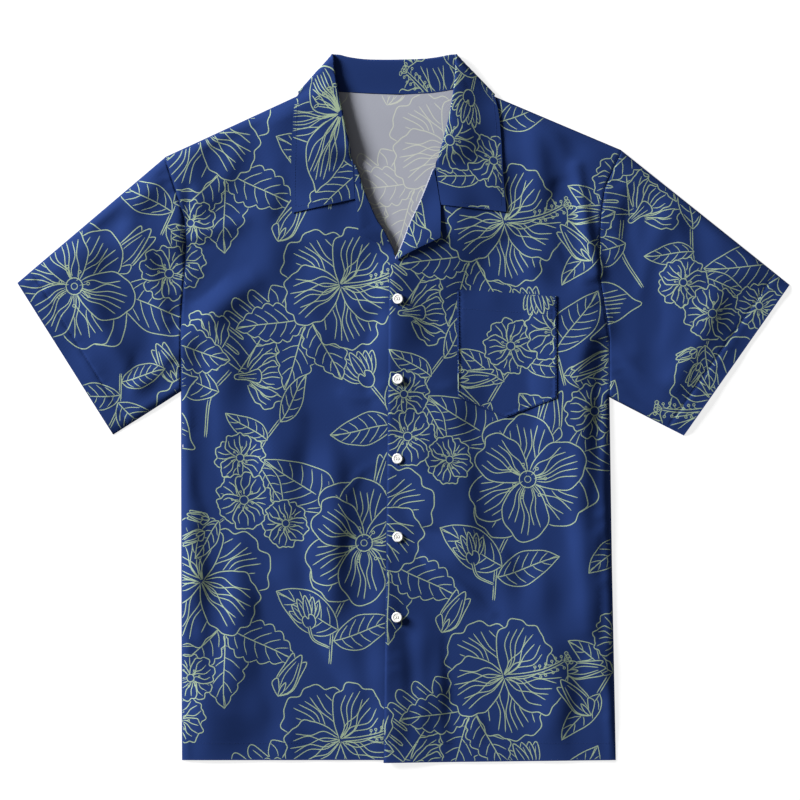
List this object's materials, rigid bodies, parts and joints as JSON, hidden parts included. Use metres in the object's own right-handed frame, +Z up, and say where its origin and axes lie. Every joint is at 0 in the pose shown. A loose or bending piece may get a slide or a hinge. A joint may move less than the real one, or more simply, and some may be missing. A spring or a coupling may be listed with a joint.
{
  "type": "hawaiian shirt",
  "caption": "Short-sleeved camp-collar shirt of printed cloth, buttoned down the front with a patch chest pocket, laid flat on its back.",
  "frame": {"origin": "bottom centre of the bounding box, on the surface that the shirt lies on", "axes": "+X to the wearer's left, +Y from hem to collar, +Z up from the surface, through the back to the fronts"},
  "size_m": [0.85, 0.7804, 0.0098],
  "materials": {
    "cloth": "plain-woven printed cloth, matt with a slight sheen",
    "button": "polished white plastic"
  },
  "bodies": {
    "root": {"back": "cloth", "front_right": "cloth", "front_left": "cloth", "sleeve_right": "cloth", "sleeve_left": "cloth", "facing_right": "cloth", "facing_left": "cloth", "collar": "cloth", "pocket": "cloth", "button_1": "button", "button_2": "button", "button_3": "button", "button_4": "button", "button_5": "button"}
  },
  "joints": []
}
